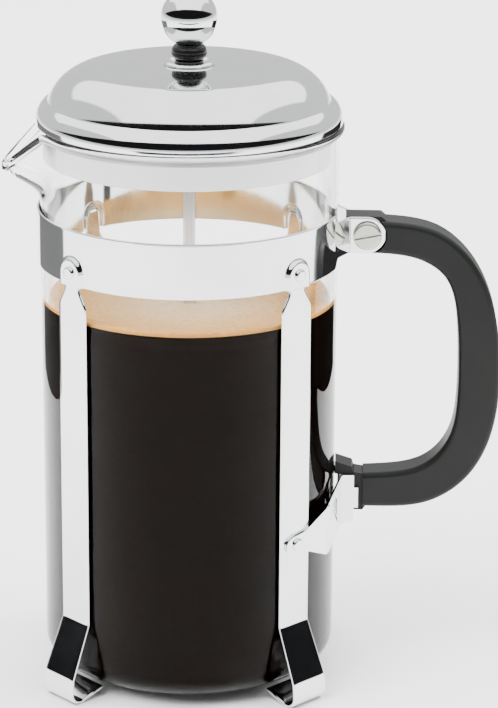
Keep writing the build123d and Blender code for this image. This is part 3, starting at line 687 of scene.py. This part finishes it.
class Finish:
    """A material under construction."""

    def __init__(self, name):
        self.material = bpy.data.materials.new(name)
        self.material.use_nodes = True
        self.tree = self.material.node_tree
        self.tree.nodes.clear()

    def node(self, kind, settings=None, values=None):
        """Any node: its settings are set first, then the values or links of its sockets.

        Returns its outputs.
        """
        made = self.tree.nodes.new(kind)
        for key, value in (settings or {}).items():
            if key == "stops":
                ramp = made.color_ramp.elements
                while len(ramp) < len(value):
                    ramp.new(0.5)
                for element, (place, colour) in zip(ramp, value):
                    element.position, element.color = place, colour
            else:
                setattr(made, key, value)
        for key, value in (values or {}).items():
            if isinstance(value, Field):
                self.tree.links.new(value.socket, made.inputs[key])
            elif value is not None:
                made.inputs[key].default_value = value
        return Outputs(self, made)

    def where(self):
        return self.node("ShaderNodeTexCoord")["Object"]

    def stretched(self, scale):
        """Object coordinates scaled apart on the three axes, for brushed and spun lines."""
        return self.node("ShaderNodeMapping", None, {"Vector": self.where(), "Scale": scale})["Vector"]

    def noise(self, scale, detail=3.0, rough=0.55, vector=None):
        values = {"Vector": vector or self.where(), "Scale": scale, "Detail": detail, "Roughness": rough}
        return self.node("ShaderNodeTexNoise", None, values)[0]

    def cells(self, scale, vector=None):
        values = {"Vector": vector or self.where(), "Scale": scale}
        return self.node("ShaderNodeTexVoronoi", None, values)["Distance"]

    def ramp(self, value, *stops):
        """A grey ramp: pairs of (place, level)."""
        levels = [(place, (level, level, level, 1)) for place, level in stops]
        return self.node("ShaderNodeValToRGB", {"stops": levels}, {0: value})[0]

    def mixed(self, share, first, second):
        """A colour between two others."""
        return self.node(
            "ShaderNodeMix", {"data_type": "RGBA"}, {0: share, 6: first, 7: second}
        )[2]

    def bump(self, height, distance, strength=1.0):
        values = {"Height": height, "Distance": distance, "Strength": strength}
        return self.node("ShaderNodeBump", None, values)["Normal"]

    def surface(self, **sockets):
        """The Principled shader and the output. Names use _ for a space."""
        values = {key.replace("_", " "): value for key, value in sockets.items()}
        shader = self.node("ShaderNodeBsdfPrincipled", None, values)[0]
        self.node("ShaderNodeOutputMaterial", None, {"Surface": shader})
        return self.material


class Outputs:
    """The outputs of one node, by number or by name."""

    def __init__(self, finish, made):
        self.finish, self.made = finish, made

    def __getitem__(self, key):
        return Field(self.finish, self.made.outputs[key])


def rgb(red, green, blue):
    return (red, green, blue, 1.0)


# %% [markdown]
# ## Metals
# Chrome is a mirror, so all of its character is in what disturbs the mirror: a slow waviness from
# the press, fine scratches, and smudges that change the roughness. Spun steel has rings instead.


# %% Chrome
def chrome_finish(name, waviness, base):
    finish = Finish(name)
    smudge = finish.ramp(finish.noise(45, 4), (0.42, 0.0), (0.7, 1.0))
    hairs = finish.noise(900, 2, 0.6, finish.stretched((1.0, 1.0, 0.08)))
    wave = finish.noise(38, 1)
    shade = finish.mixed(smudge, rgb(*base), rgb(*(0.94 * part for part in base)))
    height = wave * waviness + hairs * 0.0006
    return finish.surface(
        Base_Color=shade, Metallic=1.0, Roughness=0.045 + smudge * 0.05 + hairs * 0.025,
        Normal=finish.bump(height, 0.4 * mm),
    )


chrome = chrome_finish("polished chrome", 0.02, (0.86, 0.87, 0.88))
spun_chrome = chrome_finish("spun and polished chrome", 0.01, (0.87, 0.88, 0.885))


# %% Satin and plated steel
def steel_finish(name, base, low, high, lines):
    """Fine level rings or strokes from noise squeezed along the height."""
    finish = Finish(name)
    stroke = finish.noise(700, 3, 0.65, finish.stretched(lines))
    patch = finish.noise(60, 3)
    shade = finish.mixed(stroke * 0.6 + patch * 0.3, rgb(*(0.9 * part for part in base)), rgb(*base))
    return finish.surface(
        Base_Color=shade, Metallic=1.0, Roughness=low + (high - low) * stroke + patch * 0.05,
        Normal=finish.bump(stroke, 0.02 * mm, 0.5),
    )


satin_steel = steel_finish("satin spun steel", (0.80, 0.79, 0.81), 0.24, 0.4, (0.12, 0.12, 2.0))
plated = steel_finish("nickel plated screw", (0.60, 0.60, 0.53), 0.2, 0.42, (1.0, 1.0, 1.0))

# %% Woven wire
finish = Finish("woven wire screen")


def wires(direction):
    """Light and dark bands across one axis."""
    values = {"Vector": finish.where(), "Scale": 700.0}
    return finish.node("ShaderNodeTexWave", {"bands_direction": direction}, values)[1]


holes = wires("X") * wires("Y")
woven = finish.surface(
    Base_Color=finish.mixed(holes, rgb(0.60, 0.59, 0.57), rgb(0.10, 0.10, 0.10)), Metallic=1.0,
    Roughness=0.3 + holes * 0.3, Normal=finish.bump(1 - holes, 0.12 * mm),
)

# %% [markdown]
# ## Plastics, glass and the drink
# The grip is moulded in a spark-eroded tool, which leaves a fine grain. The glass carries a
# faint waviness. Crema is foam: cells of several sizes, darker where the walls are thin.

# %% Grip and collar
finish = Finish("moulded grip")
grain = finish.noise(2600, 2, 0.6)
rub = finish.ramp(finish.noise(35, 4), (0.4, 0.0), (0.72, 1.0))
grip = finish.surface(
    Base_Color=finish.mixed(rub, rgb(0.006, 0.007, 0.006), rgb(0.010, 0.011, 0.010)),
    Roughness=0.36 + grain * 0.12 + rub * 0.06, Specular_IOR_Level=0.2,
    Normal=finish.bump(grain, 0.05 * mm, 0.5),
)
finish = Finish("glossy collar")
grain = finish.noise(800, 3)
collar_finish = finish.surface(
    Base_Color=finish.mixed(grain, rgb(0.006, 0.006, 0.006), rgb(0.012, 0.012, 0.012)),
    Roughness=0.16 + grain * 0.08, Specular_IOR_Level=0.3, Normal=finish.bump(grain, 0.01 * mm, 0.4),
)

# %% Glass
finish = Finish("blown glass")
wave = finish.noise(30, 2)
film = finish.ramp(finish.noise(70, 4), (0.5, 0.0), (0.8, 1.0))
glass = finish.surface(
    Base_Color=finish.mixed(wave, rgb(0.975, 0.99, 0.98), rgb(0.985, 0.995, 0.99)),
    Roughness=film * 0.03, IOR=1.47, Specular_Tint=rgb(0.15, 0.15, 0.15), Transmission_Weight=1.0,
    Normal=finish.bump(wave, 0.25 * mm, 0.3),
)

# %% Coffee and crema
finish = Finish("black coffee")
cloud = finish.noise(40, 3)
coffee_finish = finish.surface(
    Base_Color=finish.mixed(cloud, rgb(0.0012, 0.0006, 0.0003), rgb(0.004, 0.0016, 0.0006)),
    Roughness=0.12 + cloud * 0.05, Specular_IOR_Level=0.0, Normal=finish.bump(cloud, 0.02 * mm, 0.3),
)
finish = Finish("crema foam")
place = finish.where()
parts = finish.node("ShaderNodeSeparateXYZ", None, {0: place})
from_axis = (parts["X"] * parts["X"] + parts["Y"] * parts["Y"]) ** 0.5 * (1 / bore)
fine, coarse, drift = finish.cells(1700), finish.cells(620), finish.noise(60, 4)
froth = finish.node(
    "ShaderNodeValToRGB",
    {"stops": [(0.25, rgb(0.80, 0.58, 0.34)), (0.62, rgb(0.80, 0.44, 0.15)), (0.9, rgb(0.84, 0.40, 0.06)),
               (1.0, rgb(0.74, 0.31, 0.04))]},
    {0: from_axis + drift * 0.3 - 0.15},
)[0]
speck = finish.ramp(fine, (0.1, 1.0), (0.35, 0.0))
pit = finish.ramp(coarse, (0.05, 1.0), (0.2, 0.0))
froth = finish.mixed(speck * 0.5, froth, rgb(0.92, 0.78, 0.55))
crema_finish = finish.surface(
    Base_Color=finish.mixed(pit * 0.5, froth, rgb(0.50, 0.24, 0.06)), Roughness=0.4 + fine * 0.3,
    Normal=finish.bump(fine + coarse, 0.15 * mm),
)


# %% Putting the finishes on
def finish_with(material, *pieces):
    for piece in pieces:
        piece.data.materials.clear()
        piece.data.materials.append(material)


finish_with(glass, glass_beaker)
finish_with(coffee_finish, coffee)
finish_with(crema_finish, crema)
finish_with(spun_chrome, dome, washer, ball)
finish_with(chrome, band, bracket, nodes["leg_rivets"], nodes["bracket_rivets"])
finish_with(chrome, *[piece for piece in scene.objects if piece.name.startswith("strap_leg_")])
finish_with(plated, screw, nut)
finish_with(satin_steel, skirt, coil)
finish_with(collar_finish, collar, nodes["guide_bush"])
finish_with(grip, nodes["handle"])
finish_with(woven, nodes["filter_mesh"])
for node in ("plunger_rod", "rod_collar", "spiral_plate", "cross_plate", "hub_nut"):
    finish_with(satin_steel, nodes[node])

# %% [markdown]
# ## Studio
# Chrome shows the room, so the room is what makes it look like metal. A bright ceiling and a pale
# table give it white fields, and a dark gap in front, low over the table, gives it dark edges.
# The glass reflects less than real glass does, so that the drink behind it stays dark.

# %% Floor
bpy.ops.mesh.primitive_circle_add(vertices=96, radius=6.0, fill_type="NGON", location=(0, 0, -0.0001))
floor = bpy.context.object
floor.name = "studio_floor"
finish = Finish("pale table")
pale = finish.noise(6, 3)
finish_with(finish.surface(
    Base_Color=finish.mixed(pale, rgb(0.90, 0.90, 0.90), rgb(0.92, 0.92, 0.92)), Roughness=0.8,
), floor)

# %% Light from the room
world = bpy.data.worlds.new("studio")
scene.world = world
world.use_nodes = True
room = Finish.__new__(Finish)
room.tree = world.node_tree
room.tree.nodes.clear()
parts = room.node("ShaderNodeSeparateXYZ", None, {0: room.node("ShaderNodeTexCoord")["Generated"]})
across, ahead, upward = parts["X"], parts["Y"], parts["Z"]


def above(value, edge, soft):
    """1 where the value is over the edge, 0 under it, with a soft step of that width between."""
    share = room.node("ShaderNodeMath", {"operation": "MULTIPLY_ADD", "use_clamp": True},
                      {0: value, 1: 1 / soft, 2: -edge / soft})
    return share[0]


ceiling_edge, ceiling_side = 0.42, 0.50
gap_top, gap_slope, gap_bottom = 0.28, 0.53, 0.05
overhead = above(upward, ceiling_edge, 0.03) * (1 - above(across * across, ceiling_side, 0.05))
front_gap = (1 - above(upward + ahead * gap_slope, gap_top, 0.03)) * above(upward, gap_bottom, 0.02)
walls = room.mixed(overhead, rgb(1.0, 1.005, 1.01), rgb(2.6, 2.6, 2.6))
dim = room.mixed(front_gap, walls, rgb(0.012, 0.012, 0.014))
seen = room.node("ShaderNodeLightPath")["Is Camera Ray"]
shown = room.mixed(seen, dim, rgb(1.0, 1.0, 1.0))
background = room.node("ShaderNodeBackground", None, {"Color": shown, "Strength": 1.0})[0]
room.node("ShaderNodeOutputWorld", None, {"Surface": background})


# %% Dark cards that only reflections see
def card(name, corners, shade):
    """A flat card of four corners, seen by mirrors alone."""
    mesh = bpy.data.meshes.new(name)
    mesh.from_pydata(corners, [], [(0, 1, 2, 3)])
    piece = bpy.data.objects.new(name, mesh)
    scene.collection.objects.link(piece)
    piece.visible_camera = piece.visible_diffuse = piece.visible_shadow = piece.visible_transmission = False
    look = Finish(name)
    look.surface(Base_Color=rgb(shade, shade, shade), Roughness=0.9, Specular_IOR_Level=0.0)
    finish_with(look.material, piece)


def standing_card(name, start, end, distance, height, shade):
    """A card on edge between two directions, in degrees round from the camera towards the left."""
    turns = [math.radians(a) for a in (start, end)]
    (ax, ay), (bx, by) = [(-distance * math.sin(a), -distance * math.cos(a)) for a in turns]
    card(name, [(ax, ay, 0), (bx, by, 0), (bx, by, height), (ax, ay, height)], shade)


standing_card("left_card", 100, 146, 0.34, 0.15, 0.09)
standing_card("right_card", -112, -150, 0.34, 0.15, 0.01)
edge_half, edge_near, edge_far, edge_lift = 0.6, -0.64, -0.88, 0.001
card("table_edge", [(-edge_half, edge_near, edge_lift), (edge_half, edge_near, edge_lift),
                    (edge_half, edge_far, edge_lift), (-edge_half, edge_far, edge_lift)], 0.01)


def soft_light(name, place, aim, width, height, power):
    """A rectangular softbox that faces its aim."""
    light = bpy.data.lights.new(name, "AREA")
    light.shape, light.size, light.size_y, light.energy = "RECTANGLE", width, height, power
    lamp = bpy.data.objects.new(name, light)
    scene.collection.objects.link(lamp)
    lamp.location = place
    lamp.rotation_euler = (Vector(aim) - Vector(place)).to_track_quat("-Z", "Y").to_euler()
    lamp.visible_glossy = False
    return lamp


soft_light("key", (-0.7, -0.5, 1.4), (0, 0, 0.1), 1.0, 1.0, 46)
soft_light("fill", (0.9, 0.1, 1.2), (0, 0, 0.1), 0.8, 0.8, 26)
soft_light("back", (0.0, 1.4, 0.9), (0, 0, 0.1), 1.4, 0.7, 28)

# %% Camera
azimuth, pitch, distance = math.radians(2.5), math.radians(17.8), 1.0
target = Vector((0, 0, 106.4 * mm))
back = Vector((math.sin(azimuth) * math.cos(pitch), -math.cos(azimuth) * math.cos(pitch), math.sin(pitch)))
camera = bpy.data.objects.new("camera", bpy.data.cameras.new("camera"))
scene.collection.objects.link(camera)
camera.data.lens = 155.1
camera.data.sensor_width = 36.0
camera.data.shift_x = 0.0845
camera.location = target + distance * back
camera.rotation_euler = (-back).to_track_quat("-Z", "Y").to_euler()
scene.camera = camera
